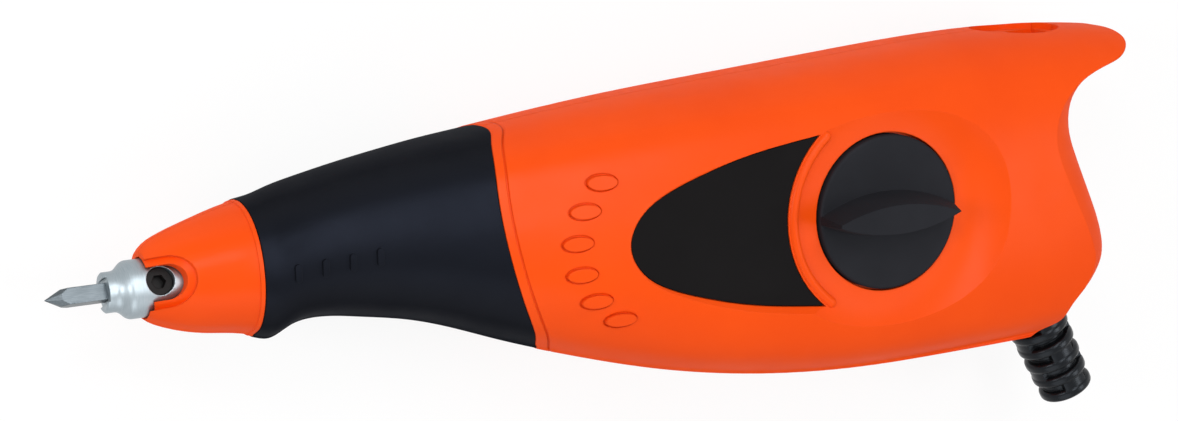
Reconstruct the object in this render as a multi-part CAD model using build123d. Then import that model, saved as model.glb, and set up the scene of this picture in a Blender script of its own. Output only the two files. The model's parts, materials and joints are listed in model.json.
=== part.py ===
from build123d import *
from math import copysign, cos, pi, radians, sin, sqrt
import os

# Electric engraver. Millimetres. X runs along the plunger from the tip (-X) to the tail (+X),
# Y points to the top of the tool. The tool lies on its right cheek with the dial up, and Z = 0
# is the flat on that cheek. All shapes are drawn with the parting plane at z = 0 and are lifted
# by REST_DEPTH when they are written. The dial axis is X = Y = 0.

# Lengths along the tool
DIAL_TO_GRIP = 68.5        # dial axis to the rear edge of the grip, on the side
GRIP_LENGTH = 41.5
NOSE_LENGTH = 16.9
CHUCK_REACH = 6.5          # chuck in front of the nose
TIP_REACH = 9.3            # tip in front of the chuck
TAIL_REACH = 51.5          # dial axis to the rear of the tail
WAIST_REACH = 44.1         # dial axis to the hollow over the tail
BEAK_REACH = 57.3          # dial axis to the end of the beak

# Heights and half widths of the outer form
NOSE_TOP = 6.0
NOSE_BOTTOM = -5.2
NOSE_HALF_WIDTH = 5.6
SHOULDER_TOP = 12.05       # where the nose meets the grip
SHOULDER_BOTTOM = -9.6
SHOULDER_HALF_WIDTH = 11.6
GUARD_BOTTOM = -10.2       # finger guard under the grip
HOLLOW_BOTTOM = -7.8       # finger hollow behind the guard
GRIP_TOP = 19.55
GRIP_BOTTOM = -15.6
GRIP_HALF_WIDTH = 17.2
BODY_TOP = 25.2            # at the dial
BODY_BOTTOM = -29.3
BODY_HALF_WIDTH = 21.6
TAIL_TOP = 26.4
TAIL_BOTTOM = -28.8
TAIL_HALF_WIDTH = 20.4
CHEEK_FLAT = 1.2           # taken off the right cheek so that the tool lies still
TAIL_FLAT = 2.0            # half width of the straight middle of the tail, seen from above
TAIL_ROUND = 21.0          # radius of the tail's corners, seen from above
TAIL_TURN = 65.0           # angle of those corners
SECTION_STEPS = 10

# Walls and clearances
WALL = 2.0
TAIL_WALL = 2.6
GRIP_THICKNESS = 1.8
GRIP_STEP = 0.1            # body edge stands above the grip
GRIP_LIP = 0.3             # grip stands above the nose
NOSE_BEAD = 0.7            # bead at the rear of the nose, next to the grip
NOSE_BEAD_RAISE = 0.2
REVEAL_BACK = 1.5          # fine groove in the body, behind the edge of the grip
REVEAL_WIDTH = 0.35
REVEAL_DEPTH = 0.25
PARTING_GAP = 0.16
FIT = 0.1                  # loose fit of fixed pieces
RUN = 0.05                 # radial running clearance
DRILL_OVER = 0.5           # blind holes run on past the end of what they hold

# Tip, chuck and plunger
TIP_SIDE = 2.7
TIP_POINT = 3.7
TIP_END = 0.06             # half width of the very end
TIP_GRIPPED = 11.0
CHUCK_ROLL = 22.0          # the set screw is turned up from the side, in degrees
NECK_RADIUS = 3.3
NECK_LENGTH = 1.5
NECK_EDGE = 0.3
FLARE_LENGTH = 2.9
CHUCK_RADIUS = 4.75
CHUCK_LENGTH = 20.1
NECK_SLOT_WIDTH = 4.0
NECK_SLOT_DEPTH = 0.5
SET_SCREW_RADIUS = 2.25
SET_SCREW_INSET = 2.0      # behind the front of the nose
SET_SCREW_SINK = 1.2
SOCKET_RADIUS = 1.2
SOCKET_DEPTH = 1.6
ROD_RADIUS = 3.0
ROD_GRIPPED = 6.0
STROKE = 1.5               # plunger travel
COLLAR_RADIUS = 4.0
COLLAR_WIDTH = 2.5
STUD_RADIUS = 2.5
PILOT_RADIUS = 1.5
PILOT_LENGTH = 2.0

# Nose and guides
MOUTH_CLEARANCE = 0.25     # around the chuck
NOTCH_WIDTH = 5.6
NOTCH_LENGTH = 5.6
NOTCH_ROLL = 16.0
NOTCH_MARGIN = 1.3         # shallow step around the notch
NOTCH_STEP = 0.9
BUSH_RADIUS = 5.2
BUSH_FLANGE_RADIUS = 6.3
BUSH_FLANGE = 1.6
FRONT_BUSH_LENGTH = 9.0
CHUCK_TO_BUSH = STROKE + 0.7
WASHER_THICKNESS = 2.0
REAR_BUSH_LENGTH = 8.0
BULKHEAD = 5.0
BULKHEAD_BACK = 0.5        # bulkhead behind the side edge of the grip

# Magnet
POLE_GAP = STROKE + 0.5    # at rest
ARMATURE_THICKNESS = 5.0
ARMATURE_HALF_HEIGHT = 13.5
NUT_FLATS = 8.0
NUT_THICKNESS = 3.6
GRIP_TO_POLE = 18.0        # rear edge of the grip to the pole faces
CORE_HALF_HEIGHT = 13.5
CORE_HALF_STACK = 7.5
LEG_HEIGHT = 7.5
LEG_LENGTH = 26.0
YOKE = 8.0
CORE_SCREW_RADIUS = 1.6
CORE_SCREW_HEAD = 3.0
CORE_SCREW_HEAD_HEIGHT = 2.2
CORE_SCREW_BITE = 8.0      # below the core
CORE_SCREW_SPREAD = 9.8
CORE_POST_BACK = 2.5       # posts under the legs, behind the pole faces
SLOT_WIDTH = 0.9           # of the screwdriver slots
SLOT_DEPTH = 1.2
BOBBIN_BACK = 5.0          # behind the pole faces
BOBBIN_LENGTH = 19.5
BOBBIN_WALL = 0.8
WINDING_BUILD = 2.0
WINDING_ROUND = 1.5
FLANGE_LIP = 0.2

# Stroke dial
DIAL_RADIUS = 13.4
DIAL_PROUD = 0.9           # face of the knob above the dish around it
DIAL_SINK = 1.9            # knob recess below the dish
DIAL_GAP = 0.4
DIAL_UNDER_GAP = 0.3
DIAL_EDGE = 0.5
RIDGE_HALF_WIDTH = 3.9
RIDGE_CREST_HALF_WIDTH = 2.5
RIDGE_HEIGHT = 7.0
RIDGE_RIM = 0.1            # ridge ends inside the edge of the knob
RIDGE_BLUNT = 1.2          # its front end is cut off by that edge
RIDGE_FRONT_SLOPE = 0.5    # crest ends inside the foot of the ridge
RIDGE_POINTER_SLOPE = 3.1
SHAFT_RADIUS = 3.0
JOURNAL_RADIUS = 2.5
JOURNAL_LENGTH = 11.0
CAM_RADIUS = 6.0           # at the middle setting
CAM_LIFT = 2.4             # over the whole turn
DIAL_TURN = 240.0
CAM_MARGIN = 15.0
CAM_HALF_WIDTH = 3.0
SHAFT_FLAT = 2.2
SHAFT_IN_RIDGE = 0.7
CLIP_RADIUS = 5.0
CLIP_THICKNESS = 1.0
CLIP_ABOVE_CAM = 1.6
CLIP_OPENING = 1.6
DIAL_BOSS_RADIUS = 5.5
SEAL_INNER = 8.0
SEAL_OUTER = 10.6
SEAL_HEIGHT = 0.7
SEAL_GAP = 0.3

# Stroke pushrod and spring
PUSHROD_RADIUS = 2.0
PUSHROD_HEAD_RADIUS = 4.0
PUSHROD_HEAD = 4.0
PUSHROD_CROWN = 5.0        # radius of its rounded face
FOLLOWER_GAP = 0.05
SPRING_RADIUS = 2.05       # of the coil's middle line
SPRING_WIRE = 0.35
SPRING_LENGTH = 12.0
SPRING_TURNS = 7

# Dish, panel and side marks on the left cheek
DISH_DEPTH = 3.1           # below the widest point of the cheek
DISH_FLAT_MARGIN = 0.9     # flat of the dish around the knob
DISH_SWEEP = 18.0          # radius of the dish's rising side
DISH_TURN = 40.0
DISH_RIB_MARGIN = 9.0
PANEL_DEPTH = 3.3
PANEL_THICKNESS = 0.9
PANEL_GAP = 0.15
PANEL_ARC = 19.6
PANEL_TIP = 49.2
PANEL_HALF_HEIGHT = 14.8
PANEL_CORNER = 13.2
PANEL_BEVEL_FOOT = 0.15    # bevel around the panel starts this far above it
PANEL_BEVEL = 2.4
PANEL_BEVEL_RISE = 2.0
RIM_ROUND = 0.95           # rounded rim between the dish and the panel
RIM_TO_PANEL = 1.1         # from the middle of the rim to the arc of the panel
RIM_SINK = 0.35            # its middle below the face of the panel
RIM_TURN = 51.0            # half of the angle that it goes round the dial
PAD_LENGTH = 5.1
PAD_HEIGHT = 2.3
PAD_RAISE = 0.5
PAD_FOOT = 1.4             # foot of the pads, in from the side of the grip
PAD_GROOVE = 0.3
PAD_GROOVE_DEPTH = 0.3
PAD_ARC = 17.5             # the pads lie on a part of an oval: its half length
PAD_ARC_RISE = 15.25       # and its half height
PAD_ARC_BACK = 27.5        # its middle, behind the rear edge of the grip
PAD_ARC_Y = 0.25
PAD_FIRST = 134.7
PAD_STEP = 20.2
PAD_COUNT = 6
NUB_LENGTH = 3.0
NUB_WIDTH = 1.1
NUB_RAISE = 0.5
NUB_PITCH = 4.5
NUB_FIRST = 5.3            # behind the front edge of the grip
NUB_Y = 1.6
NUB_RISE = 0.4             # from one nub to the next
NUB_COUNT = 4

# Switch
SWITCH_TO_WAIST = 5.6
SWITCH_BAY_LENGTH = 13.5
THUMB_HALF_LENGTH = 8.2    # oval hollow around the switch bay
THUMB_HALF_WIDTH = 7.6
THUMB_DEPTH = 1.2
SWITCH_BAY_HALF_WIDTH = 4.6
SWITCH_BAY_DEPTH = 2.9
SWITCH_TRAVEL = 4.0
BUTTON_LENGTH = 8.0
BUTTON_HALF_WIDTH = 3.8
BUTTON_HEIGHT = 1.3
BUTTON_RIB = 0.4
BUTTON_RIB_WIDTH = 0.8
BUTTON_RIB_PITCH = 2.0
STEM_LENGTH = 3.0
STEM_HALF_WIDTH = 1.5
STEM_GAP = 0.4
STEM_DEPTH = 2.0           # in the switch
SWITCH_LENGTH = 10.5
SWITCH_HALF_WIDTH = 4.5
SWITCH_HEIGHT = 8.0
BLADE_PITCH = 1.5
BLADE_LENGTH = 5.0
BLADE_WIDTH = 2.8
BLADE_THICKNESS = 0.8
SWITCH_RIB = 2.0

# Cord boot and clamp
BOOT_TO_TAIL = 8.8         # start of the boot in front of the rear of the tail
BOOT_DROP = 0.7            # and below the tail
BOOT_ANGLE = -64.8         # below the tool's axis, in degrees
BOOT_REACH = 14.0
BOOT_BORE = 3.1
BOOT_NECK = 4.0
BOOT_RING = 5.7            # first ring
BOOT_RING_END = 5.0        # last ring
BOOT_RING_WIDTH = 2.1
BOOT_RING_ROUND = 0.8
BOOT_RINGS = 6
BOOT_RING_PITCH = 3.25
BOOT_SOCKET_GAP = 0.3      # around the first ring, in the housing
BOOT_BRIDGE = 4.6
BOOT_BRIDGE_SINK = 0.3
BOOT_FLANGE = 6.0
BOOT_FLANGE_WIDTH = 2.0
BOOT_FLANGE_IN = 8.0       # from the skin to the flange
BOOT_BLOCK = 8.2
CLAMP_IN = 17.0            # from the skin, along the boot's axis
CLAMP_SPREAD = 6.8
CLAMP_LENGTH = 20.0
CLAMP_WIDTH = 7.0
CLAMP_THICKNESS = 3.0
CLAMP_GAP = 3.0            # half of the cord room under the clamp
CLAMP_SCREW_RADIUS = 1.4
CLAMP_SCREW_LENGTH = 9.0
CLAMP_SCREW_HEAD = 2.6
CLAMP_SCREW_HEAD_HEIGHT = 1.8

# Housing screws
SCREW_RADIUS = 1.5
SCREW_LENGTH = 20.0
SCREW_HEAD_RADIUS = 3.0
SCREW_HEAD = 2.2
SCREW_SEAT = 11.0          # parting plane to the head seat
SCREW_BOSS = 3.6
SCREW_BOSS_GROW = 0.6      # wider on the side of the heads
SCREW_CROSS = 4.0
SCREW_BACK = 5.0           # upper front screw, behind the rear edge of the grip
LOW_SCREW_BACK = 6.0       # lower front screw

# Places that follow from the sizes above
GRIP_REAR = -DIAL_TO_GRIP
GRIP_FRONT = GRIP_REAR - GRIP_LENGTH
NOSE_FRONT = GRIP_FRONT - NOSE_LENGTH
CHUCK_FRONT = NOSE_FRONT - CHUCK_REACH
CHUCK_REAR = CHUCK_FRONT + CHUCK_LENGTH
BUSH_FRONT = CHUCK_REAR + CHUCK_TO_BUSH
BUSH_REAR = BUSH_FRONT + FRONT_BUSH_LENGTH
NOSE_CORE_REAR = BUSH_REAR + WASHER_THICKNESS + FIT
POLE_X = GRIP_REAR + GRIP_TO_POLE
ARMATURE_REAR = POLE_X - POLE_GAP
ARMATURE_FRONT = ARMATURE_REAR - ARMATURE_THICKNESS
NUT_REAR = ARMATURE_REAR + NUT_THICKNESS
YOKE_FRONT = POLE_X + LEG_LENGTH
YOKE_REAR = YOKE_FRONT + YOKE
BULKHEAD_X = GRIP_REAR + BULKHEAD_BACK
CLIP_Z = CAM_HALF_WIDTH + CLIP_ABOVE_CAM
REST_DEPTH = BODY_HALF_WIDTH - CHEEK_FLAT
DISH_FLOOR = BODY_HALF_WIDTH - DISH_DEPTH
DISH_FLAT = DIAL_RADIUS + DISH_FLAT_MARGIN
DIAL_RECESS_FLOOR = DISH_FLOOR - DIAL_SINK
DIAL_BASE = DIAL_RECESS_FLOOR + DIAL_UNDER_GAP
DIAL_FACE = DISH_FLOOR + DIAL_PROUD
SHAFT_TOP = DIAL_FACE + SHAFT_IN_RIDGE
PANEL_FLOOR = BODY_HALF_WIDTH - PANEL_DEPTH
PANEL_TOP = PANEL_FLOOR + PANEL_THICKNESS
SWITCH_X = WAIST_REACH - SWITCH_TO_WAIST
SWITCH_BAY_FLOOR = TAIL_TOP - SWITCH_BAY_DEPTH
BOOT_X = TAIL_REACH - BOOT_TO_TAIL
BOOT_Y = TAIL_BOTTOM - BOOT_DROP
BOOT_FRAME = Pos(BOOT_X, BOOT_Y, 0) * Rot(0, 0, BOOT_ANGLE)
BOOT_FIRST_RING = BOOT_REACH - BOOT_RING_WIDTH / 2 - (BOOT_RINGS - 1) * BOOT_RING_PITCH
BOOT_SOCKET_FLOOR = BOOT_FIRST_RING - BOOT_RING_WIDTH / 2 - BOOT_SOCKET_GAP
SCREW_PLACES = [
    (GRIP_REAR + SCREW_BACK, GRIP_TOP - 7.0),
    (GRIP_REAR + LOW_SCREW_BACK, GRIP_BOTTOM + 7.8),
    (8.5, BODY_TOP - 8.7),
    (10.5, BODY_BOTTOM + 9.3),
    (WAIST_REACH - 9.1, 1.5),
]
CAM_RATE = CAM_LIFT / radians(DIAL_TURN)
BIG = 60.0

# Sections of the outer form: place, top, bottom, half width, squareness
SECTIONS = [
    (NOSE_FRONT, NOSE_TOP, NOSE_BOTTOM, NOSE_HALF_WIDTH, 2.0),
    (NOSE_FRONT + 1.1, NOSE_TOP + 1.1, NOSE_BOTTOM - 0.7, NOSE_HALF_WIDTH + 0.9, 2.0),
    (NOSE_FRONT + 3.0, NOSE_TOP + 2.1, NOSE_BOTTOM - 1.5, NOSE_HALF_WIDTH + 1.8, 2.0),
    (NOSE_FRONT + 8.6, NOSE_TOP + 3.95, NOSE_BOTTOM - 3.0, NOSE_HALF_WIDTH + 3.7, 2.05),
    (GRIP_FRONT, SHOULDER_TOP, SHOULDER_BOTTOM, SHOULDER_HALF_WIDTH, 2.1),
    (GRIP_FRONT + 2.4, SHOULDER_TOP + 0.4, GUARD_BOTTOM, SHOULDER_HALF_WIDTH + 0.3, 2.1),
    (GRIP_FRONT + 6.3, SHOULDER_TOP + 1.5, GUARD_BOTTOM + 1.6, SHOULDER_HALF_WIDTH + 0.8, 2.15),
    (GRIP_FRONT + 10.5, SHOULDER_TOP + 2.5, HOLLOW_BOTTOM, SHOULDER_HALF_WIDTH + 1.3, 2.2),
    (GRIP_REAR - 23.0, GRIP_TOP - 3.3, HOLLOW_BOTTOM - 1.0, GRIP_HALF_WIDTH - 3.4, 2.2),
    (GRIP_REAR - 15.0, GRIP_TOP - 1.95, GRIP_BOTTOM + 5.25, GRIP_HALF_WIDTH - 2.2, 2.3),
    (GRIP_REAR - 7.5, GRIP_TOP - 0.85, GRIP_BOTTOM + 2.9, GRIP_HALF_WIDTH - 1.0, 2.4),
    (GRIP_REAR, GRIP_TOP, GRIP_BOTTOM, GRIP_HALF_WIDTH, 2.5),
    (GRIP_REAR + 12.0, BODY_TOP - 4.3, BODY_BOTTOM + 9.65, BODY_HALF_WIDTH - 2.8, 2.6),
    (GRIP_REAR + 27.0, BODY_TOP - 2.9, BODY_BOTTOM + 5.4, BODY_HALF_WIDTH - 1.4, 2.8),
    (GRIP_REAR + 45.0, BODY_TOP - 1.6, BODY_BOTTOM + 1.9, BODY_HALF_WIDTH - 0.4, 2.9),
    (0.0, BODY_TOP, BODY_BOTTOM, BODY_HALF_WIDTH, 3.0),
    (TAIL_REACH - 33.0, TAIL_TOP, TAIL_BOTTOM - 0.4, TAIL_HALF_WIDTH + 0.9, 3.0),
    (TAIL_REACH - 17.0, TAIL_TOP + 0.4, TAIL_BOTTOM, TAIL_HALF_WIDTH, 3.0),
    (TAIL_REACH - 3.0, TAIL_TOP - 0.2, TAIL_BOTTOM + 1.0, TAIL_HALF_WIDTH - 2.0, 3.0),
    (TAIL_REACH + 13.0, TAIL_TOP - 2.4, TAIL_BOTTOM + 2.8, TAIL_HALF_WIDTH - 5.4, 3.0),
]

# Side outline of the tail, from the belly up to the hollow, then round the beak
TAIL_OUTLINE = [
    (TAIL_REACH - 24.0, TAIL_BOTTOM - 1.7),
    (TAIL_REACH - 18.0, TAIL_BOTTOM - 0.6),
    (TAIL_REACH - 13.0, TAIL_BOTTOM + 1.2),
    (TAIL_REACH - 9.0, TAIL_BOTTOM + 4.0),
    (TAIL_REACH - 6.6, TAIL_BOTTOM + 6.8),
    (TAIL_REACH - 3.9, TAIL_BOTTOM + 9.4),
    (TAIL_REACH - 1.8, TAIL_BOTTOM + 12.0),
    (TAIL_REACH - 0.6, TAIL_BOTTOM + 14.5),
    (TAIL_REACH - 0.6, -10.6),
    (WAIST_REACH + 4.5, -3.2),
    (WAIST_REACH + 2.0, 3.3),
    (WAIST_REACH + 0.4, 8.5),
]
BEAK_OUTLINE = [
    (WAIST_REACH + 0.7, TAIL_TOP - 12.3),
    (WAIST_REACH + 3.3, TAIL_TOP - 8.6),
    (BEAK_REACH - 4.2, TAIL_TOP - 6.1),
    (BEAK_REACH - 0.7, TAIL_TOP - 4.5),
    (BEAK_REACH, TAIL_TOP - 2.9),
    (BEAK_REACH - 1.2, TAIL_TOP - 1.3),
    (BEAK_REACH - 4.2, TAIL_TOP - 0.2),
    (BEAK_REACH - 9.5, TAIL_TOP + 1.0),
    (BEAK_REACH - 15.5, TAIL_TOP + 2.2),
]

# Rear edge of the grip, seen from the side
GRIP_EDGE = [
    (GRIP_REAR + 7.0, GRIP_TOP + 6.0),
    (GRIP_REAR + 2.2, GRIP_TOP + 0.2),
    (GRIP_REAR - 0.2, GRIP_TOP - 1.6),
    (GRIP_REAR - 1.5, GRIP_TOP - 4.4),
    (GRIP_REAR - 2.3, GRIP_TOP - 9.5),
    (GRIP_REAR - 1.4, GRIP_TOP - 18.0),
    (GRIP_REAR + 0.4, GRIP_BOTTOM + 10.4),
    (GRIP_REAR + 3.7, GRIP_BOTTOM + 3.1),
    (GRIP_REAR + 6.9, GRIP_BOTTOM - 1.8),
    (GRIP_REAR + 11.0, GRIP_BOTTOM - 6.6),
]

# Half outline of the panel: share of its length from the dial's side, share of its half height
PANEL_SHAPE = [(-0.22, 1.07), (0.0, 1.0), (0.42, 0.845), (0.65, 0.69), (0.825, 0.527), (0.927, 0.361)]


def box(x0, x1, y0, y1, z0, z1):
    return Pos((x0 + x1) / 2, (y0 + y1) / 2, (z0 + z1) / 2) * Box(x1 - x0, y1 - y0, z1 - z0)


def rod_x(x0, x1, radius, y=0.0, z=0.0):
    return Pos((x0 + x1) / 2, y, z) * Rot(0, 90, 0) * Cylinder(radius, x1 - x0)


def rod_z(x, y, radius, z0, z1):
    return Pos(x, y, (z0 + z1) / 2) * Cylinder(radius, z1 - z0)


def bar_x(x0, x1, half_side):
    return box(x0, x1, -half_side, half_side, -half_side, half_side)


def ring_x(x0, x1, outer, inner):
    return rod_x(x0, x1, outer) - rod_x(x0 - 1, x1 + 1, inner)


def section(x, top, bottom, half_width, squareness, inset):
    middle = (top + bottom) / 2
    half_height = (top - bottom) / 2 - inset
    half_width = half_width - inset

    def side(sign):
        points = []
        for i in range(SECTION_STEPS + 1):
            angle = pi / 2 - i * pi / SECTION_STEPS
            across = half_width * abs(cos(angle)) ** (2 / squareness)
            up = half_height * copysign(abs(sin(angle)) ** (2 / squareness), sin(angle))
            points.append((x, middle + up, sign * across))
        return Spline(*points, tangents=[(0, 0, sign), (0, 0, -sign)])

    return Wire([side(1), side(-1)])


def form(inset):
    return Solid.make_loft([section(*row, inset(row[0])) for row in SECTIONS])


def grip_inset(x):
    # Skin of the grip under the outer form, from its front edge to its rear edge
    share = min(max((x - GRIP_FRONT) / GRIP_LENGTH, 0.0), 1.0)
    return -GRIP_LIP + share * (GRIP_LIP + GRIP_STEP)


def tail_cut(outline, back):
    # Everything behind the tail outline, moved forward by back, carried round the corners of the tail
    points = [(x - back, y) for x, y in outline]
    curve = Spline(*points)
    corners = [(points[-1][0], BIG), (2 * BIG, BIG), (2 * BIG, -BIG), (points[0][0], -BIG)]
    face = make_face([curve, Polyline(points[-1], *corners, points[0])])
    turn = radians(TAIL_TURN)
    corner_end = (-TAIL_ROUND * (1 - cos(turn)), 0, TAIL_FLAT + TAIL_ROUND * sin(turn))
    corner = TangentArc((0, 0, TAIL_FLAT), corner_end, tangent=(0, 0, 1))
    cut = sweep(face, path=Wire([Line((0, 0, 0), (0, 0, TAIL_FLAT)), corner]), normal=(0, 0, 1))
    return [cut, mirror(cut, about=Plane.XY)]


def grip_band(front, rear):
    points = [(x + rear, y) for x, y in GRIP_EDGE]
    curve = Spline(*points)
    corners = [(points[-1][0], -BIG), (front, -BIG), (front, BIG), (points[0][0], BIG)]
    face = make_face([curve, Polyline(points[-1], *corners, points[0])])
    return Pos(0, 0, -BIG) * extrude(face, amount=2 * BIG)


def teardrop(grow):
    # Outline of the panel: a blunt-nosed drop, to be cut off at an arc around the dial
    length = PANEL_TIP - PANEL_CORNER
    upper = []
    for along, rise in PANEL_SHAPE:
        x = -PANEL_CORNER - along * length - grow * max(along, 0)
        upper.append((x, rise * PANEL_HALF_HEIGHT + grow * (1 - along ** 4)))
    lower = [(x, -y) for x, y in reversed(upper)]
    curve = Spline(*upper, (-PANEL_TIP - grow, 0), *lower)
    return make_face([curve, Line(lower[-1], upper[0])])


def along_boot(start, end, radius):
    # A round piece on the boot's axis, between two distances from the skin
    return BOOT_FRAME * rod_x(start, end, radius)


def around_switch(half_length, bottom, top, half_width):
    return box(SWITCH_X - half_length, SWITCH_X + half_length, bottom, top, -half_width, half_width)


def write(name, shape):
    export_step(Pos(0, 0, REST_DEPTH) * shape, "parts/" + name + ".step")


def rolled(shape, angle):
    return Rot(-angle, 0, 0) * shape


os.makedirs("parts", exist_ok=True)

# Outer form and the room inside it
bead = form(lambda x: -NOSE_BEAD_RAISE) & box(GRIP_FRONT - NOSE_BEAD, GRIP_FRONT, -BIG, BIG, -BIG, BIG)
outer = form(lambda x: 0.0) + bead - tail_cut(TAIL_OUTLINE + BEAK_OUTLINE, 0.0)
room = form(lambda x: WALL if x > GRIP_REAR + 1 else GRIP_THICKNESS + WALL)
room = room - tail_cut(TAIL_OUTLINE + [(WAIST_REACH, BIG / 2)], TAIL_WALL)
room = room & box(NOSE_CORE_REAR, 2 * BIG, -BIG, BIG, -BIG, BIG)
grip_bed = grip_band(GRIP_FRONT, 0.0) - form(lambda x: GRIP_THICKNESS + FIT)
reveal = grip_band(GRIP_FRONT, REVEAL_BACK + REVEAL_WIDTH) - grip_band(GRIP_FRONT - 1, REVEAL_BACK)
shell = outer - grip_bed - (reveal - form(lambda x: REVEAL_DEPTH))
LEFT_SIDE = box(-3 * BIG, 2 * BIG, -BIG, BIG, PARTING_GAP / 2, BIG)
RIGHT_SIDE = box(-3 * BIG, 2 * BIG, -BIG, BIG, -REST_DEPTH, -PARTING_GAP / 2)

# Places inside
SPRING_FRONT = NUT_REAR + RUN
SPRING_REAR = SPRING_FRONT + SPRING_LENGTH
FOLLOWER_X = -CAM_RADIUS - FOLLOWER_GAP
YOKE_MIDDLE = (YOKE_FRONT + YOKE_REAR) / 2
CORE_SCREW_END = -CORE_HALF_STACK - CORE_SCREW_BITE
CLAMP_TOP = CLAMP_GAP + CLAMP_THICKNESS
CLAMP_SCREW_END = CLAMP_TOP - CLAMP_SCREW_LENGTH
SWITCH_TOP = SWITCH_BAY_FLOOR - WALL - FIT
SWITCH_BOTTOM = SWITCH_TOP - SWITCH_HEIGHT
STEM_ROOM = (STEM_LENGTH + SWITCH_TRAVEL) / 2 + STEM_GAP
REAR_BUSH_FRONT = BULKHEAD_X - (REAR_BUSH_LENGTH - BULKHEAD) / 2
REAR_BUSH_REAR = REAR_BUSH_FRONT + REAR_BUSH_LENGTH
REAR_FLANGE = BULKHEAD_X + (BULKHEAD - BUSH_FLANGE) / 2
FLANGE_FAR = -BOOT_FLANGE_IN - BOOT_FLANGE_WIDTH
CLAMP_PLACES = [(BOOT_FRAME * Pos(-CLAMP_IN, side * CLAMP_SPREAD, 0)).position for side in (1, -1)]

# Shared cuts of both housing halves
thumb_oval = Ellipse(THUMB_HALF_LENGTH, THUMB_HALF_WIDTH)
shared_cuts = [
    rod_x(NOSE_FRONT - 1, BUSH_FRONT, CHUCK_RADIUS + MOUTH_CLEARANCE),
    rod_x(BUSH_FRONT - FIT / 2, BUSH_FRONT + BUSH_FLANGE + FIT / 2, BUSH_FLANGE_RADIUS + FIT / 2),
    rod_x(BUSH_FRONT, NOSE_CORE_REAR + 1, BUSH_RADIUS + FIT / 2),
    rod_x(REAR_BUSH_FRONT - 1, REAR_BUSH_REAR + 1, BUSH_RADIUS + FIT / 2),
    rod_x(REAR_FLANGE - FIT / 2, REAR_FLANGE + BUSH_FLANGE + FIT / 2, BUSH_FLANGE_RADIUS + FIT / 2),
    around_switch(SWITCH_BAY_LENGTH / 2, SWITCH_BAY_FLOOR, BIG, SWITCH_BAY_HALF_WIDTH),
    Pos(SWITCH_X, TAIL_TOP - THUMB_DEPTH, 0) * Rot(-90, 0, 0) * extrude(thumb_oval, amount=BIG),
    around_switch(STEM_ROOM + FIT, SWITCH_TOP - 1, SWITCH_BAY_FLOOR + 1, STEM_HALF_WIDTH + STEM_GAP),
    around_switch(SWITCH_LENGTH / 2 + FIT, SWITCH_BOTTOM - FIT, SWITCH_TOP + FIT, SWITCH_HALF_WIDTH + FIT),
    along_boot(FLANGE_FAR - WALL - 1, 4, BOOT_NECK + FIT),
    along_boot(FLANGE_FAR - FIT, -BOOT_FLANGE_IN + FIT, BOOT_FLANGE + FIT),
    along_boot(BOOT_SOCKET_FLOOR, BOOT_REACH, BOOT_RING + BOOT_SOCKET_GAP),
]

# Ribs and bosses of both halves
shared_ribs = [
    box(BULKHEAD_X, BULKHEAD_X + BULKHEAD, -BIG, BIG, -BIG, BIG),
    around_switch(SWITCH_BAY_LENGTH / 2 + WALL, SWITCH_BAY_FLOOR - WALL, BIG, SWITCH_BAY_HALF_WIDTH + WALL),
    along_boot(FLANGE_FAR - WALL, 4, BOOT_BLOCK),
]
for end in (1, -1):
    rib_x = SWITCH_X + end * (SWITCH_LENGTH / 2 - SWITCH_RIB / 2)
    rib_sides = (rib_x - SWITCH_RIB / 2, rib_x + SWITCH_RIB / 2)
    shared_ribs.append(box(*rib_sides, SWITCH_BOTTOM - WALL, SWITCH_BAY_FLOOR, -BIG, BIG))
left_ribs = [
    rod_z(0, 0, DIAL_BOSS_RADIUS, CLIP_Z + CLIP_THICKNESS + FIT, BIG),
    rod_z(0, 0, DISH_FLAT + DISH_RIB_MARGIN, DIAL_RECESS_FLOOR - WALL, BIG),
    Pos(0, 0, PANEL_FLOOR - WALL) * extrude(teardrop(WALL), amount=BIG),
]
right_ribs = [rod_z(0, 0, JOURNAL_RADIUS + WALL, -BIG, -CAM_HALF_WIDTH - FIT)]
dish_turn = radians(DISH_TURN)
dish_reach = DISH_FLAT + DISH_SWEEP * sin(dish_turn)
dish_rim = (dish_reach, DISH_FLOOR + DISH_SWEEP * (1 - cos(dish_turn)))
dish_edges = [
    Line((0, DISH_FLOOR), (DISH_FLAT, DISH_FLOOR)),
    TangentArc((DISH_FLAT, DISH_FLOOR), dish_rim, tangent=(1, 0)),
    Polyline(dish_rim, (dish_reach, BIG), (0, BIG), (0, DISH_FLOOR)),
]
bevel_foot = Pos(0, 0, PANEL_TOP + PANEL_BEVEL_FOOT) * teardrop(0)
bevel_top = Pos(0, 0, PANEL_TOP + PANEL_BEVEL_FOOT + PANEL_BEVEL_RISE) * teardrop(PANEL_BEVEL)
left_cuts = [
    rod_z(0, 0, SHAFT_RADIUS + RUN, 0, BIG),
    revolve(Plane.XZ * make_face(dish_edges), Axis.Z),
    rod_z(0, 0, DIAL_RADIUS + DIAL_GAP, DIAL_RECESS_FLOOR, BIG),
    Pos(0, 0, PANEL_FLOOR) * extrude(teardrop(0) - Circle(PANEL_ARC), amount=BIG),
    loft([bevel_foot, bevel_top], ruled=True) - rod_z(0, 0, PANEL_ARC, 0, BIG),
]
right_cuts = [rod_z(0, 0, JOURNAL_RADIUS + RUN, -CAM_HALF_WIDTH - JOURNAL_LENGTH - DRILL_OVER, 0)]
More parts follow.
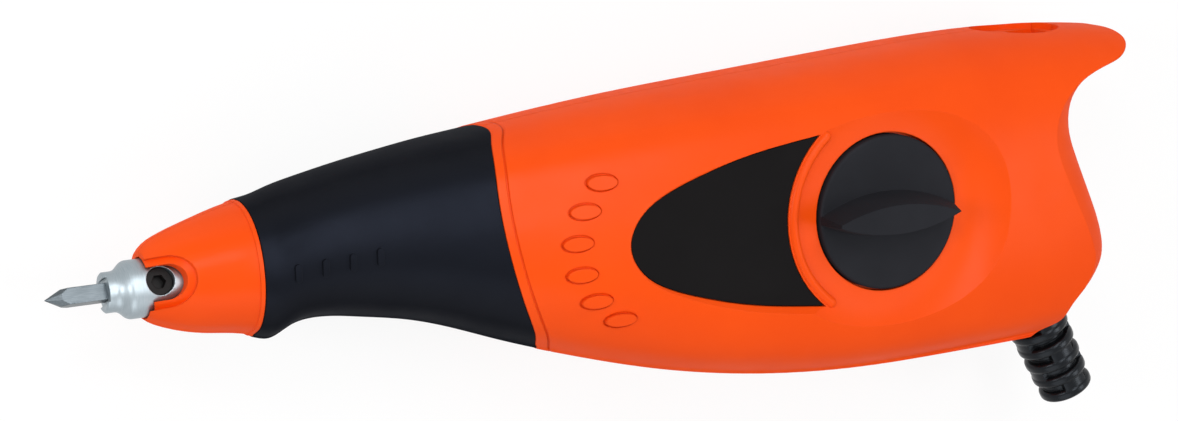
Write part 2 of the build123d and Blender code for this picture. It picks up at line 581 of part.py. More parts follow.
for side in (1, -1):
    spread = side * CORE_SCREW_SPREAD
    right_ribs.append(rod_z(YOKE_MIDDLE, spread, CORE_SCREW_RADIUS + WALL, -BIG, -CORE_HALF_STACK))
    right_ribs.append(rod_z(POLE_X + CORE_POST_BACK, spread, WALL, -BIG, -CORE_HALF_STACK))
    right_cuts.append(rod_z(YOKE_MIDDLE, spread, CORE_SCREW_RADIUS + RUN, CORE_SCREW_END - DRILL_OVER, 0))
for place in CLAMP_PLACES:
    right_ribs.append(rod_z(place.X, place.Y, CLAMP_SCREW_RADIUS + WALL, -BIG, CLAMP_GAP))
    right_cuts.append(rod_z(place.X, place.Y, CLAMP_SCREW_RADIUS + RUN, CLAMP_SCREW_END - DRILL_OVER, BIG))
for x, y in SCREW_PLACES:
    left_ribs.append(rod_z(x, y, SCREW_BOSS, 0, BIG))
    right_ribs.append(rod_z(x, y, SCREW_BOSS + SCREW_BOSS_GROW, -BIG, 0))
    left_cuts.append(rod_z(x, y, SCREW_RADIUS + RUN, -1, SCREW_LENGTH - SCREW_SEAT + DRILL_OVER))
    right_cuts.append(rod_z(x, y, SCREW_RADIUS + 2 * FIT, -BIG, 1))
    right_cuts.append(rod_z(x, y, SCREW_HEAD_RADIUS + 3 * FIT, -BIG, -SCREW_SEAT))

# Notch in the nose for the key of the set screw
notch_in = extrude(SlotOverall(2 * NOTCH_LENGTH, NOTCH_WIDTH), amount=BIG / 3)
notch_sizes = (2 * (NOTCH_LENGTH + NOTCH_MARGIN), NOTCH_WIDTH + 2 * NOTCH_MARGIN)
notch_out = extrude(SlotOverall(*notch_sizes), amount=BIG / 3)
left_cuts.append(Pos(NOSE_FRONT, 0, 0) * rolled(notch_in, NOTCH_ROLL))
left_cuts.append(Pos(NOSE_FRONT, 0, 0) * rolled(notch_out, NOTCH_ROLL) - form(lambda x: NOTCH_STEP))

# Raised pads on the left cheek, each in a fine groove
pads = []
pad_skin = form(lambda x: -PAD_RAISE)
groove_bed = form(lambda x: PAD_GROOVE_DEPTH)
pad_oval = Ellipse(PAD_LENGTH / 2, PAD_HEIGHT / 2)
pad_ring = Ellipse(PAD_LENGTH / 2 + PAD_GROOVE, PAD_HEIGHT / 2 + PAD_GROOVE) - pad_oval
for i in range(PAD_COUNT):
    angle = radians(PAD_FIRST + i * PAD_STEP)
    pad_x = GRIP_REAR + PAD_ARC_BACK + PAD_ARC * cos(angle)
    place = Pos(pad_x, PAD_ARC_Y + PAD_ARC_RISE * sin(angle), GRIP_HALF_WIDTH - PAD_FOOT)
    pads.append((place * extrude(pad_oval, amount=WALL * 3)) & pad_skin)
    left_cuts.append((place * extrude(pad_ring, amount=WALL * 3)) - groove_bed)

# Rounded rim between the dish and the panel
rim_place = (PANEL_ARC - RIM_TO_PANEL, PANEL_TOP - RIM_SINK)
rim_round = revolve(Plane.XZ * Pos(*rim_place) * Circle(RIM_ROUND), Axis.Z, 2 * RIM_TURN)
rim = [Rot(0, 0, 180 - RIM_TURN) * rim_round]
half_ball = Sphere(RIM_ROUND) & box(-BIG, BIG, 0, BIG, -BIG, BIG)
for end in (1, -1):
    ball_place = Rot(0, 0, 180 + end * RIM_TURN) * Pos(rim_place[0], 0, rim_place[1])
    rim.append(ball_place * Rot(0, 0, 90 - end * 90) * half_ball)

left = (shell & LEFT_SIDE) - (room - (shared_ribs + left_ribs)) - (shared_cuts + left_cuts) + pads + rim
right = (shell & RIGHT_SIDE) - (room - (shared_ribs + right_ribs)) - (shared_cuts + right_cuts)
write("housing_left", left)
write("housing_right", right)

screws = []
for x, y in SCREW_PLACES:
    head = rod_z(x, y, SCREW_HEAD_RADIUS, -SCREW_SEAT - SCREW_HEAD, -SCREW_SEAT)
    shank = rod_z(x, y, SCREW_RADIUS, -SCREW_SEAT, SCREW_LENGTH - SCREW_SEAT)
    cross = Box(SCREW_CROSS, SLOT_WIDTH, 2 * SLOT_DEPTH) + Box(SLOT_WIDTH, SCREW_CROSS, 2 * SLOT_DEPTH)
    screws.append(head + shank - Pos(x, y, -SCREW_SEAT - SCREW_HEAD) * cross)
write("housing_screws", Compound(screws))

# Grip
grip_inner = form(lambda x: GRIP_THICKNESS)
grip = (form(grip_inset) & grip_band(GRIP_FRONT + FIT, -FIT)) - grip_inner
nub_layer = form(lambda x: grip_inset(x) - NUB_RAISE) - form(lambda x: GRIP_THICKNESS / 2)
nubs = []
for i in range(NUB_COUNT):
    nub = extrude(SlotOverall(NUB_LENGTH, NUB_WIDTH, rotation=90), amount=BIG / 2)
    nubs.append((Pos(GRIP_FRONT + NUB_FIRST + i * NUB_PITCH, NUB_Y + i * NUB_RISE, 2) * nub) & nub_layer)
grip = grip + nubs
write("grip_sleeve", grip)

# Black panel on the left cheek
panel = extrude(teardrop(-PANEL_GAP) - Circle(PANEL_ARC + PANEL_GAP), amount=PANEL_THICKNESS)
write("label_panel", Pos(0, 0, PANEL_FLOOR) * panel)

# Tip, chuck and set screw
tip_start = CHUCK_FRONT - TIP_REACH
bar = bar_x(tip_start + TIP_POINT, CHUCK_FRONT + TIP_GRIPPED, TIP_SIDE / 2)
point_plane = Plane(origin=(tip_start + TIP_POINT, 0, 0), x_dir=(0, 1, 0), z_dir=(-1, 0, 0))
point_foot = point_plane * RegularPolygon(TIP_SIDE / sqrt(2), 8, major_radius=False, rotation=22.5)
point_end = point_plane.offset(TIP_POINT) * RegularPolygon(TIP_END, 8, major_radius=False, rotation=22.5)
point = loft([point_foot, point_end], ruled=True) & bar_x(tip_start, tip_start + TIP_POINT, TIP_SIDE / 2)
write("engraving_tip", rolled(bar + point, CHUCK_ROLL))

flare_start = CHUCK_FRONT + NECK_LENGTH
flare_end = (flare_start + FLARE_LENGTH, CHUCK_RADIUS)
chuck_outline = Polyline(
    flare_end,
    (CHUCK_REAR, CHUCK_RADIUS),
    (CHUCK_REAR, 0),
    (CHUCK_FRONT, 0),
    (CHUCK_FRONT, NECK_RADIUS - NECK_EDGE),
    (CHUCK_FRONT + NECK_EDGE, NECK_RADIUS),
    (flare_start, NECK_RADIUS),
)
flare = Spline((flare_start, NECK_RADIUS), flare_end, tangents=[(1, 0), (1, 0)])
chuck = revolve(make_face([chuck_outline, flare]), Axis.X)
screw_x = NOSE_FRONT + SET_SCREW_INSET
chuck_cuts = [
    bar_x(CHUCK_FRONT - 1, CHUCK_FRONT + TIP_GRIPPED + FIT, TIP_SIDE / 2 + RUN),
    box(CHUCK_FRONT - 1, CHUCK_FRONT + NECK_SLOT_DEPTH, -NECK_SLOT_WIDTH / 2, NECK_SLOT_WIDTH / 2, -BIG, BIG),
    rod_z(screw_x, 0, SET_SCREW_RADIUS + FIT, 0, BIG),
    rod_x(CHUCK_REAR - ROD_GRIPPED - FIT, CHUCK_REAR + 1, ROD_RADIUS + RUN),
]
write("tip_chuck", rolled(chuck - chuck_cuts, CHUCK_ROLL))
set_screw_top = CHUCK_RADIUS - SET_SCREW_SINK
set_screw = rod_z(screw_x, 0, SET_SCREW_RADIUS, TIP_SIDE / 2 + RUN, set_screw_top)
socket = Pos(screw_x, 0, set_screw_top - SOCKET_DEPTH) * extrude(RegularPolygon(SOCKET_RADIUS, 6), amount=BIG)
write("chuck_screw", rolled(set_screw - socket, CHUCK_ROLL))

# Plunger rod with its collar, armature and nut
rod = rod_x(CHUCK_REAR - ROD_GRIPPED, ARMATURE_FRONT, ROD_RADIUS)
rod = rod + rod_x(ARMATURE_FRONT, NUT_REAR, STUD_RADIUS)
rod = rod + rod_x(NUT_REAR, NUT_REAR + PILOT_LENGTH, PILOT_RADIUS)
write("plunger_rod", rod)
collar_front = BUSH_REAR + WASHER_THICKNESS + RUN
write("stop_collar", ring_x(collar_front, collar_front + COLLAR_WIDTH, COLLAR_RADIUS, ROD_RADIUS + RUN))
stud_hole = rod_x(ARMATURE_FRONT - 1, NUT_REAR + 1, STUD_RADIUS + RUN)
armature = Box(ARMATURE_THICKNESS, 2 * ARMATURE_HALF_HEIGHT, 2 * CORE_HALF_STACK)
write("armature", Pos((ARMATURE_FRONT + ARMATURE_REAR) / 2, 0, 0) * armature - stud_hole)
nut = extrude(RegularPolygon(NUT_FLATS / 2, 6, major_radius=False), amount=NUT_THICKNESS)
write("armature_nut", Pos(ARMATURE_REAR, 0, 0) * Rot(0, 90, 0) * nut - stud_hole)

# Guides of the plunger
front_bush = rod_x(BUSH_FRONT, BUSH_REAR, BUSH_RADIUS)
front_bush = front_bush + rod_x(BUSH_FRONT, BUSH_FRONT + BUSH_FLANGE, BUSH_FLANGE_RADIUS)
write("front_bush", front_bush - rod_x(BUSH_FRONT - 1, BUSH_REAR + 1, ROD_RADIUS + RUN))
rear_bush = rod_x(REAR_BUSH_FRONT, REAR_BUSH_REAR, BUSH_RADIUS)
rear_bush = rear_bush + rod_x(REAR_FLANGE, REAR_FLANGE + BUSH_FLANGE, BUSH_FLANGE_RADIUS)
write("rear_bush", rear_bush - rod_x(REAR_BUSH_FRONT - 1, REAR_BUSH_REAR + 1, ROD_RADIUS + RUN))
write("stop_washer", ring_x(BUSH_REAR, BUSH_REAR + WASHER_THICKNESS, BUSH_RADIUS, ROD_RADIUS + 3 * FIT))

# Magnet core, its screws, bobbins and windings
leg_inner = CORE_HALF_HEIGHT - LEG_HEIGHT
core = box(POLE_X, YOKE_REAR, -CORE_HALF_HEIGHT, CORE_HALF_HEIGHT, -CORE_HALF_STACK, CORE_HALF_STACK)
core = core - box(POLE_X - 1, YOKE_FRONT, -leg_inner, leg_inner, -BIG, BIG)
core = core - rod_x(YOKE_FRONT - 1, YOKE_REAR + 1, PUSHROD_RADIUS + RUN)
core_screws = []
core_head_top = CORE_HALF_STACK + CORE_SCREW_HEAD_HEIGHT
for side in (1, -1):
    y = side * CORE_SCREW_SPREAD
    core = core - rod_z(YOKE_MIDDLE, y, CORE_SCREW_RADIUS + FIT, -BIG, BIG)
    head = rod_z(YOKE_MIDDLE, y, CORE_SCREW_HEAD, CORE_HALF_STACK, core_head_top)
    shank = rod_z(YOKE_MIDDLE, y, CORE_SCREW_RADIUS, CORE_SCREW_END, CORE_HALF_STACK)
    slot = Pos(YOKE_MIDDLE, y, core_head_top) * Box(SLOT_WIDTH, BIG, 2 * SLOT_DEPTH)
    core_screws.append(head + shank - slot)
write("magnet_core", core)
write("core_screws", Compound(core_screws))

bobbin_front = POLE_X + BOBBIN_BACK
bobbin_rear = bobbin_front + BOBBIN_LENGTH
leg_middle = CORE_HALF_HEIGHT - LEG_HEIGHT / 2


def around_leg(x0, x1, grow, side):
    y = side * leg_middle
    half = LEG_HEIGHT / 2 + grow
    return box(x0, x1, y - half, y + half, -CORE_HALF_STACK - grow, CORE_HALF_STACK + grow)


for side, name in ((1, "upper"), (-1, "lower")):
    hole = around_leg(bobbin_front - 1, bobbin_rear + 1, FIT, side)
    flange_grow = FIT + BOBBIN_WALL + WINDING_BUILD + FLANGE_LIP
    bobbin = around_leg(bobbin_front, bobbin_front + BOBBIN_WALL, flange_grow, side)
    bobbin = bobbin + around_leg(bobbin_rear - BOBBIN_WALL, bobbin_rear, flange_grow, side)
    bobbin = bobbin + around_leg(bobbin_front, bobbin_rear, FIT + BOBBIN_WALL, side) - hole
    write("bobbin_" + name, bobbin)
    winding_grow = FIT + BOBBIN_WALL + WINDING_BUILD
    winding = around_leg(bobbin_front + BOBBIN_WALL, bobbin_rear - BOBBIN_WALL, winding_grow, side)
    winding = fillet(winding.edges().filter_by(Axis.X), WINDING_ROUND)
    write("winding_" + name, winding - around_leg(bobbin_front, bobbin_rear, FIT + BOBBIN_WALL, side))

# Stroke dial: knob, shaft with the cam, clip and seal
knob = rod_z(0, 0, DIAL_RADIUS, DIAL_BASE, DIAL_FACE)
knob = fillet(knob.edges().group_by(Axis.Z)[-1], DIAL_EDGE)
ridge_end = DIAL_RADIUS - RIDGE_RIM


def lens(front, rear, half_width):
    middle = (front + rear) / 2
    lower = ThreePointArc((front, 0), (middle, -half_width), (rear, 0))
    upper = ThreePointArc((rear, 0), (middle, half_width), (front, 0))
    return make_face([lower, upper])


foot_front = -ridge_end - RIDGE_BLUNT
ridge_foot = Pos(0, 0, DIAL_FACE - DIAL_EDGE) * lens(foot_front, ridge_end, RIDGE_HALF_WIDTH)
crest = lens(foot_front + RIDGE_FRONT_SLOPE, ridge_end - RIDGE_POINTER_SLOPE, RIDGE_CREST_HALF_WIDTH)
ridge = loft([ridge_foot, Pos(0, 0, DIAL_FACE + RIDGE_HEIGHT) * crest], ruled=True)
ridge = ridge & rod_z(0, 0, ridge_end, 0, BIG)
shaft_hole = rod_z(0, 0, SHAFT_RADIUS + RUN, DIAL_BASE - 1, SHAFT_TOP + FIT)
shaft_hole = shaft_hole - box(-BIG, BIG, SHAFT_FLAT + RUN, BIG, -BIG, BIG)
seal_room = rod_z(0, 0, SEAL_OUTER + SEAL_GAP, DIAL_BASE - 1, DIAL_RECESS_FLOOR + SEAL_HEIGHT + RUN)
seal_room = seal_room - rod_z(0, 0, SEAL_INNER - SEAL_GAP, 0, BIG)
write("dial_knob", knob + ridge - shaft_hole - seal_room)

cam_points = []
cam_steps = 18
cam_half = radians(DIAL_TURN / 2 + CAM_MARGIN)
for i in range(cam_steps + 1):
    turn = -cam_half + 2 * cam_half * i / cam_steps
    radius = CAM_RADIUS - CAM_RATE * turn
    cam_points.append((radius * cos(pi + turn), radius * sin(pi + turn)))
cam_face = make_face([Spline(*cam_points), Line(cam_points[-1], cam_points[0])])
cam = Pos(0, 0, -CAM_HALF_WIDTH) * extrude(cam_face, amount=2 * CAM_HALF_WIDTH)
shaft = rod_z(0, 0, SHAFT_RADIUS, 0, SHAFT_TOP) - box(-BIG, BIG, SHAFT_FLAT, BIG, DIAL_BASE, BIG)
shaft = shaft - (rod_z(0, 0, BIG, CLIP_Z, CLIP_Z + CLIP_THICKNESS) - rod_z(0, 0, JOURNAL_RADIUS, 0, BIG))
shaft = shaft + rod_z(0, 0, JOURNAL_RADIUS, -CAM_HALF_WIDTH - JOURNAL_LENGTH, 0)
write("dial_camshaft", cam + shaft)
clip = rod_z(0, 0, CLIP_RADIUS, CLIP_Z, CLIP_Z + CLIP_THICKNESS) - rod_z(0, 0, JOURNAL_RADIUS + RUN, 0, BIG)
write("dial_clip", clip - box(0, BIG, -CLIP_OPENING, CLIP_OPENING, 0, BIG))
seal = rod_z(0, 0, SEAL_OUTER, DIAL_RECESS_FLOOR, DIAL_RECESS_FLOOR + SEAL_HEIGHT)
write("dial_seal", seal - rod_z(0, 0, SEAL_INNER, 0, BIG))

# Stroke pushrod and spring
head = rod_x(FOLLOWER_X - PUSHROD_HEAD, FOLLOWER_X, PUSHROD_HEAD_RADIUS)
head = head & Pos(FOLLOWER_X - PUSHROD_CROWN, 0, 0) * Sphere(PUSHROD_CROWN)
pushrod = head + rod_x(SPRING_REAR, FOLLOWER_X - PUSHROD_HEAD, PUSHROD_RADIUS)
write("stroke_pushrod", pushrod + rod_x(SPRING_REAR - PILOT_LENGTH, SPRING_REAR, PILOT_RADIUS))
coil_length = SPRING_LENGTH - 2 * SPRING_WIRE - 2 * RUN
coil = Helix(coil_length / SPRING_TURNS, coil_length, SPRING_RADIUS)
wire = Plane(origin=coil @ 0, z_dir=coil % 0) * Circle(SPRING_WIRE)
spring = sweep(wire, path=coil, is_frenet=True)
write("stroke_spring", Pos(SPRING_FRONT + SPRING_WIRE + RUN, 0, 0) * Rot(0, 90, 0) * spring)

# Switch
switch = around_switch(SWITCH_LENGTH / 2, SWITCH_BOTTOM, SWITCH_TOP, SWITCH_HALF_WIDTH)
stem_slot = around_switch(STEM_ROOM, SWITCH_TOP - STEM_DEPTH - STEM_GAP, BIG, STEM_HALF_WIDTH + STEM_GAP)
write("switch_body", switch - stem_slot)
to_front = Pos(-SWITCH_TRAVEL / 2, 0, 0)
button_low = SWITCH_BAY_FLOOR + FIT
button_high = button_low + BUTTON_HEIGHT
button = around_switch(BUTTON_LENGTH / 2, button_low, button_high, BUTTON_HALF_WIDTH)
for i in (-1, 0, 1):
    rib = around_switch(BUTTON_RIB_WIDTH / 2, button_low, button_high + BUTTON_RIB, BUTTON_HALF_WIDTH)
    button = button + Pos(i * BUTTON_RIB_PITCH, 0, 0) * rib
stem = around_switch(STEM_LENGTH / 2, SWITCH_TOP - STEM_DEPTH, button_high, STEM_HALF_WIDTH)
write("switch_button", to_front * (button + stem))
blades = []
for i in (-1, 0, 1):
    blade = around_switch(BLADE_THICKNESS / 2, SWITCH_BOTTOM - BLADE_LENGTH, SWITCH_BOTTOM, BLADE_WIDTH / 2)
    blades.append(Pos(i * BLADE_PITCH, 0, 0) * blade)
write("switch_blades", Compound(blades))

# Cord boot: rings on a neck, joined by bridges that alternate so that it bends
boot = along_boot(FLANGE_FAR, BOOT_REACH, BOOT_NECK)
boot = boot + along_boot(FLANGE_FAR, -BOOT_FLANGE_IN, BOOT_FLANGE)
for i in range(BOOT_RINGS):
    middle = BOOT_FIRST_RING + i * BOOT_RING_PITCH
    radius = BOOT_RING + (BOOT_RING_END - BOOT_RING) * i / (BOOT_RINGS - 1)
    ring = Cylinder(radius, BOOT_RING_WIDTH)
    ring = fillet(ring.edges().filter_by(GeomType.CIRCLE), BOOT_RING_ROUND)
    boot = boot + BOOT_FRAME * Pos(middle, 0, 0) * Rot(0, 90, 0) * ring
    if i < BOOT_RINGS - 1:
        width = 2 * BOOT_RING if i % 2 else BOOT_BRIDGE
        depth = BOOT_BRIDGE if i % 2 else 2 * BOOT_RING
        bridge_place = BOOT_FRAME * Pos(middle + BOOT_RING_PITCH / 2, 0, 0)
        bridge = along_boot(middle, middle + BOOT_RING_PITCH, radius - BOOT_BRIDGE_SINK)
        boot = boot + (bridge & bridge_place * Box(BOOT_RING_PITCH, width, depth))
boot = boot - along_boot(FLANGE_FAR - 1, BOOT_REACH + 1, BOOT_BORE)
write("cord_boot", boot)

# Cord clamp
clamp = Box(CLAMP_WIDTH, CLAMP_LENGTH, CLAMP_THICKNESS)
clamp = BOOT_FRAME * Pos(-CLAMP_IN, 0, CLAMP_GAP + CLAMP_THICKNESS / 2) * clamp
clamp_screws = []
clamp_head_top = CLAMP_TOP + CLAMP_SCREW_HEAD_HEIGHT
for place in CLAMP_PLACES:
    clamp = clamp - rod_z(place.X, place.Y, CLAMP_SCREW_RADIUS + FIT, 0, BIG)
    clamp_screw = rod_z(place.X, place.Y, CLAMP_SCREW_RADIUS, CLAMP_SCREW_END, CLAMP_TOP)
    clamp_screw = clamp_screw + rod_z(place.X, place.Y, CLAMP_SCREW_HEAD, CLAMP_TOP, clamp_head_top)
    slot = Pos(place.X, place.Y, clamp_head_top) * Box(SLOT_WIDTH, BIG, 2 * SLOT_DEPTH)
    clamp_screws.append(clamp_screw - slot)
write("cord_clamp", clamp)
write("clamp_screws", Compound(clamp_screws))
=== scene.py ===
import json
from math import cos, radians, sin

import bpy
from mathutils import Matrix, Vector

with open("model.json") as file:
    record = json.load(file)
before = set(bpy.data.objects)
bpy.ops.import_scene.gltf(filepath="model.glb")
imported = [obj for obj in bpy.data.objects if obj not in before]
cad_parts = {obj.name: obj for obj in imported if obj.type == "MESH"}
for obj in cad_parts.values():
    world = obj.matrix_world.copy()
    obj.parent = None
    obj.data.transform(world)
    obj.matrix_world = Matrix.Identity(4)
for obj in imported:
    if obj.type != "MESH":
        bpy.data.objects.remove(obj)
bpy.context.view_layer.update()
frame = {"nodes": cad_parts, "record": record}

nodes = frame["nodes"]

# Camera: the tool lies on its right cheek, so the photo looks down on the dial, swung towards the
# nose and a little towards the top of the tool
PHOTO_WIDTH = 1178         # pixels
FOCAL_PIXELS = 3005.4
SENSOR_WIDTH = 36.0        # mm
CLIP_START = 0.01
YAW = radians(24.76)
PITCH = radians(10.53)
ROLL = radians(2.6)
DISTANCE = 0.5121
TARGET = Vector((-0.0476, 0.0031, 0.0204))

# Surface textures: scales are per metre
MOTTLE_SCALE = 60.0        # slow change of colour on plastics
SMEAR_SCALE = 140.0        # change of gloss on plastics
METAL_SMEAR_SCALE = 220.0
TOOL_MARK_SCALE = 1000.0
GRAIN_STRENGTH = 0.35
TOOL_MARK_STRENGTH = 0.3
RIM_START = 0.1            # gloss starts to fade here, from 0 face on to 1 edge on
RIM_END = 0.45
EDGE_SAMPLES = 6
MOULDED_EDGE = 0.00025     # radius that edges seem to have
MACHINED_EDGE = 0.0002
COOL = (0.78, 0.88, 1.0)
STEEL_BLUE = (0.55, 0.66, 1.0)

# Floor and light
FLOOR_REACH = 3.0
FLOOR_DROP = 0.0002
FLOOR_GREY = 0.94
FLOOR_ROUGHNESS = 0.9
FLOOR_SPECULAR = 0.1
FLOOR_WHITE = 0.88         # share of white, the rest takes the shadow
AMBIENT = 0.3

toward = Vector((-sin(YAW) * cos(PITCH), sin(PITCH), cos(YAW) * cos(PITCH)))
right = Vector((0, 1, 0)).cross(toward).normalized()
up = toward.cross(right)
right, up = cos(ROLL) * right - sin(ROLL) * up, sin(ROLL) * right + cos(ROLL) * up
camera_data = bpy.data.cameras.new("photo_camera")
camera_data.sensor_fit = "HORIZONTAL"
camera_data.sensor_width = SENSOR_WIDTH
camera_data.lens = SENSOR_WIDTH * FOCAL_PIXELS / PHOTO_WIDTH
camera_data.clip_start = CLIP_START
camera = bpy.data.objects.new("photo_camera", camera_data)
bpy.context.collection.objects.link(camera)
turn = Matrix((right, up, toward)).transposed().to_4x4()
camera.matrix_world = Matrix.Translation(TARGET + toward * DISTANCE) @ turn
bpy.context.scene.camera = camera
bpy.context.scene.view_settings.view_transform = "Standard"


# Node helpers
def shader(name):
    material = bpy.data.materials.new(name)
    material.use_nodes = True
    tree = material.node_tree
    return material, tree.nodes["Principled BSDF"], tree.nodes, tree.links


def noise(n, links, vector, scale, detail, rough):
    node = n.new("ShaderNodeTexNoise")
    node.inputs["Scale"].default_value = scale
    node.inputs["Detail"].default_value = detail
    node.inputs["Roughness"].default_value = rough
    links.new(vector, node.inputs["Vector"])
    return node.outputs["Fac"]


def ramp(n, links, source, dark, light):
    node = n.new("ShaderNodeValToRGB")
    for element, place, colour in zip(node.color_ramp.elements, (0.3, 0.7), (dark, light)):
        element.position = place
        element.color = (*colour, 1.0)
    links.new(source, node.inputs["Fac"])
    return node.outputs["Color"]


def spread(n, links, source, low, high, start=0.3, end=0.7):
    node = n.new("ShaderNodeMapRange")
    node.inputs["From Min"].default_value = start
    node.inputs["From Max"].default_value = end
    node.inputs["To Min"].default_value = low
    node.inputs["To Max"].default_value = high
    links.new(source, node.inputs["Value"])
    return node.outputs["Result"]


def softened(n, radius):
    # Edges catch the light as if they had a small radius
    node = n.new("ShaderNodeBevel")
    node.samples = EDGE_SAMPLES
    node.inputs["Radius"].default_value = radius
    return node.outputs["Normal"]


def bump(n, links, height, strength, distance, normal):
    node = n.new("ShaderNodeBump")
    node.inputs["Strength"].default_value = strength
    node.inputs["Distance"].default_value = distance
    links.new(height, node.inputs["Height"])
    links.new(normal, node.inputs["Normal"])
    return node.outputs["Normal"]


def moulded(name, dark, light, rough, grain, depth, specular, tint=(1, 1, 1), matte_rim=0.0):
    # Moulded plastic or rubber: faint mottling, a fine spark-eroded grain and uneven gloss. With a
    # matte rim the gloss fades where the surface turns away
    material, bsdf, n, links = shader(name)
    place = n.new("ShaderNodeTexCoord").outputs["Object"]
    broad = noise(n, links, place, MOTTLE_SCALE, 3.0, 0.5)
    fine = noise(n, links, place, grain, 3.0, 0.6)
    smear = noise(n, links, place, SMEAR_SCALE, 5.0, 0.6)
    links.new(ramp(n, links, broad, dark, light), bsdf.inputs["Base Color"])
    gloss = spread(n, links, smear, *rough)
    if matte_rim:
        turned = n.new("ShaderNodeLayerWeight").outputs["Facing"]
        dulled = n.new("ShaderNodeMath")
        links.new(gloss, dulled.inputs[0])
        links.new(spread(n, links, turned, 0.0, matte_rim, RIM_START, RIM_END), dulled.inputs[1])
        gloss = dulled.outputs[0]
    links.new(gloss, bsdf.inputs["Roughness"])
    relief = bump(n, links, fine, GRAIN_STRENGTH, depth, softened(n, MOULDED_EDGE))
    links.new(relief, bsdf.inputs["Normal"])
    bsdf.inputs["Specular IOR Level"].default_value = specular
    bsdf.inputs["Specular Tint"].default_value = (*tint, 1.0)
    return material


def machined(name, dark, light, rough, stretch, depth):
    # Bare metal: fine tool marks drawn out along the axes with a small stretch
    material, bsdf, n, links = shader(name)
    place = n.new("ShaderNodeTexCoord").outputs["Object"]
    marks_at = n.new("ShaderNodeMapping")
    marks_at.inputs["Scale"].default_value = stretch
    links.new(place, marks_at.inputs["Vector"])
    marks = noise(n, links, marks_at.outputs["Vector"], TOOL_MARK_SCALE, 5.0, 0.65)
    smear = noise(n, links, place, METAL_SMEAR_SCALE, 5.0, 0.6)
    links.new(ramp(n, links, marks, dark, light), bsdf.inputs["Base Color"])
    links.new(spread(n, links, smear, *rough), bsdf.inputs["Roughness"])
    relief = bump(n, links, marks, TOOL_MARK_STRENGTH, depth, softened(n, MACHINED_EDGE))
    links.new(relief, bsdf.inputs["Normal"])
    bsdf.inputs["Metallic"].default_value = 1.0
    return material


orange = moulded(
    "orange_plastic", dark=(0.81, 0.066, 0.002), light=(0.85, 0.074, 0.0025), rough=(0.3, 0.38),
    grain=5200.0, depth=0.00002, specular=0.12, matte_rim=0.35)
grip_rubber = moulded(
    "grip_rubber", dark=(0.002, 0.002, 0.0024), light=(0.0028, 0.0028, 0.0034), rough=(0.36, 0.44),
    grain=6200.0, depth=0.00002, specular=0.14, tint=STEEL_BLUE, matte_rim=0.5)
panel_black = moulded(
    "panel_black", dark=(0.0042, 0.0036, 0.0038), light=(0.0054, 0.0047, 0.005), rough=(0.42, 0.5),
    grain=5000.0, depth=0.00001, specular=0.05, matte_rim=0.4)
dial_black = moulded(
    "dial_black", dark=(0.013, 0.013, 0.0155), light=(0.018, 0.018, 0.0215), rough=(0.52, 0.62),
    grain=6500.0, depth=0.00003, specular=0.08, tint=COOL, matte_rim=0.35)
boot_black = moulded(
    "boot_black", dark=(0.003, 0.0032, 0.0038), light=(0.0045, 0.0048, 0.0056), rough=(0.2, 0.3),
    grain=5200.0, depth=0.00002, specular=0.2, tint=COOL)
switch_black = moulded(
    "switch_black", dark=(0.01, 0.01, 0.011), light=(0.014, 0.014, 0.015), rough=(0.45, 0.55),
    grain=5200.0, depth=0.00002, specular=0.3)
nylon = moulded(
    "natural_nylon", dark=(0.66, 0.64, 0.58), light=(0.72, 0.7, 0.64), rough=(0.4, 0.5),
    grain=3000.0, depth=0.00002, specular=0.4)
black_oxide = moulded(
    "black_oxide", dark=(0.005, 0.0045, 0.0045), light=(0.008, 0.007, 0.007), rough=(0.35, 0.5),
    grain=3000.0, depth=0.00002, specular=0.14)
copper = moulded(
    "enamelled_copper", dark=(0.42, 0.12, 0.04), light=(0.52, 0.16, 0.06), rough=(0.25, 0.4),
    grain=2600.0, depth=0.00003, specular=0.5)
core_steel = moulded(
    "varnished_steel", dark=(0.04, 0.04, 0.045), light=(0.06, 0.06, 0.065), rough=(0.4, 0.55),
    grain=2600.0, depth=0.00003, specular=0.4)
chuck_metal = machined(
    "turned_chuck", dark=(0.3, 0.35, 0.38), light=(0.37, 0.42, 0.45), rough=(0.38, 0.46),
    stretch=(9.0, 0.6, 0.6), depth=0.000006)
tip_steel = machined(
    "ground_tip", dark=(0.085, 0.1, 0.11), light=(0.135, 0.155, 0.17), rough=(0.34, 0.44),
    stretch=(0.5, 6.0, 6.0), depth=0.000012)
steel = machined(
    "plain_steel", dark=(0.42, 0.43, 0.45), light=(0.52, 0.53, 0.55), rough=(0.25, 0.4),
    stretch=(4.0, 1.0, 1.0), depth=0.00001)
bronze = machined(
    "plain_bronze", dark=(0.5, 0.3, 0.11), light=(0.58, 0.37, 0.15), rough=(0.3, 0.45),
    stretch=(4.0, 1.0, 1.0), depth=0.00001)

finishes = {
    "housing": orange, "grip": grip_rubber, "panel": panel_black, "dial": dial_black,
    "chuck": chuck_metal, "tip": tip_steel, "set_screw": black_oxide, "steel": steel,
    "screws": steel, "core": core_steel, "bronze": bronze, "copper": copper,
    "nylon": nylon, "switch": switch_black, "seal": boot_black, "boot": boot_black,
}
for part in frame["record"]["subparts"]:
    mesh = nodes[part["node"]].data
    for i in range(len(mesh.materials)):
        mesh.materials[i] = finishes[part["material_slot"]]


def either(n, links, first, second):
    node = n.new("ShaderNodeMath")
    node.operation = "MAXIMUM"
    links.new(first, node.inputs[0])
    links.new(second, node.inputs[1])
    return node.outputs[0]


def seen_white(n, links):
    # White to the camera, in gloss and through glass; diffuse light keeps to the plain level
    path = n.new("ShaderNodeLightPath").outputs
    direct = either(n, links, path["Is Camera Ray"], path["Is Glossy Ray"])
    return either(n, links, direct, path["Is Transmission Ray"])


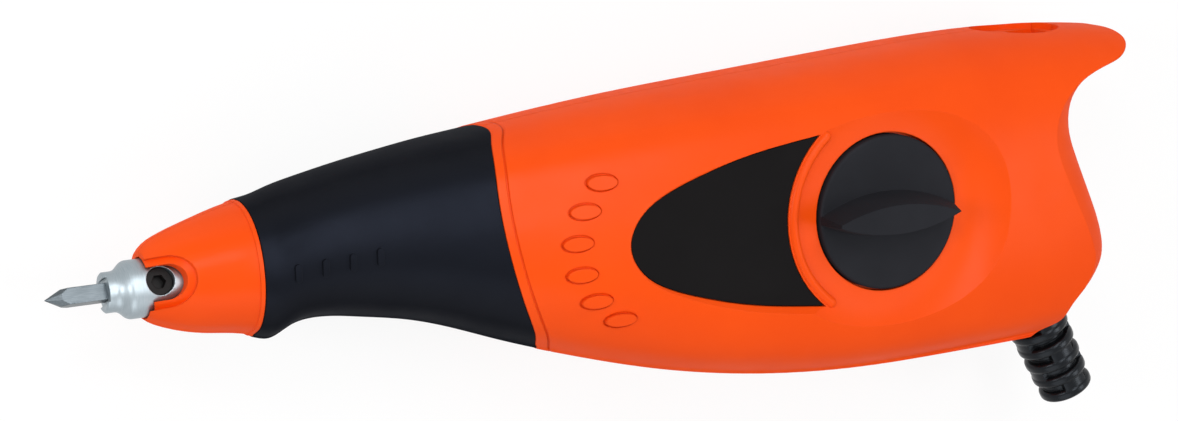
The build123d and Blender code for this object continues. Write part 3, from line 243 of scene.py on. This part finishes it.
# Pale floor that looks white but keeps a faint shadow
floor_mesh = bpy.data.meshes.new("floor")
corners = [(x * FLOOR_REACH, y * FLOOR_REACH, 0) for x, y in ((-1, -1), (1, -1), (1, 1), (-1, 1))]
floor_mesh.from_pydata(corners, [], [(0, 1, 2, 3)])
floor = bpy.data.objects.new("floor", floor_mesh)
floor.location.z = -FLOOR_DROP
bpy.context.collection.objects.link(floor)
paper, bsdf, n, links = shader("pale_floor")
bsdf.inputs["Base Color"].default_value = (FLOOR_GREY, FLOOR_GREY, FLOOR_GREY, 1.0)
bsdf.inputs["Roughness"].default_value = FLOOR_ROUGHNESS
bsdf.inputs["Specular IOR Level"].default_value = FLOOR_SPECULAR
glow = n.new("ShaderNodeEmission")
share = n.new("ShaderNodeMath")
share.operation = "MULTIPLY"
share.inputs[1].default_value = FLOOR_WHITE
links.new(seen_white(n, links), share.inputs[0])
mix = n.new("ShaderNodeMixShader")
links.new(share.outputs[0], mix.inputs[0])
links.new(bsdf.outputs[0], mix.inputs[1])
links.new(glow.outputs[0], mix.inputs[2])
links.new(mix.outputs[0], n["Material Output"].inputs["Surface"])
floor_mesh.materials.append(paper)

# Soft studio light
world = bpy.data.worlds.new("studio")
bpy.context.scene.world = world
world.use_nodes = True
n = world.node_tree.nodes
links = world.node_tree.links
level = n.new("ShaderNodeMapRange")
level.inputs["To Min"].default_value = AMBIENT
level.inputs["To Max"].default_value = 1.0
links.new(seen_white(n, links), level.inputs["Value"])
n["Background"].inputs["Color"].default_value = (1, 1, 1, 1)
links.new(level.outputs["Result"], n["Background"].inputs["Strength"])


def softbox(name, place, aim, size, power):
    lamp = bpy.data.lights.new(name, "AREA")
    lamp.shape = "RECTANGLE"
    lamp.size = size[0]
    lamp.size_y = size[1]
    lamp.energy = power
    obj = bpy.data.objects.new(name, lamp)
    obj.location = place
    obj.rotation_euler = (Vector(aim) - Vector(place)).to_track_quat("-Z", "Y").to_euler()
    bpy.context.collection.objects.link(obj)


softbox("broad_light", place=(0.02, 0.4, 0.72), aim=(-0.06, 0, 0.03), size=(0.24, 0.7), power=2.6)
softbox("key_light", place=(0.03, 0.02, 0.86), aim=(-0.06, 0, 0.03), size=(0.17, 0.15), power=0.6)
softbox("front_light", place=(-0.41, 0.47, 0.66), aim=(-0.1, 0, 0.03), size=(0.18, 0.18), power=1.1)
softbox("fill_light", place=(-0.25, -0.6, 0.5), aim=(-0.06, 0, 0.02), size=(0.6, 0.6), power=1.5)
softbox("tip_light", place=(-0.585, 0.11, 0.38), aim=(-0.14, 0, 0.02), size=(0.16, 0.28), power=1.15)
softbox("rear_light", place=(0.56, -0.1, 0.65), aim=(0.0, 0, 0.03), size=(0.26, 0.3), power=1.45)
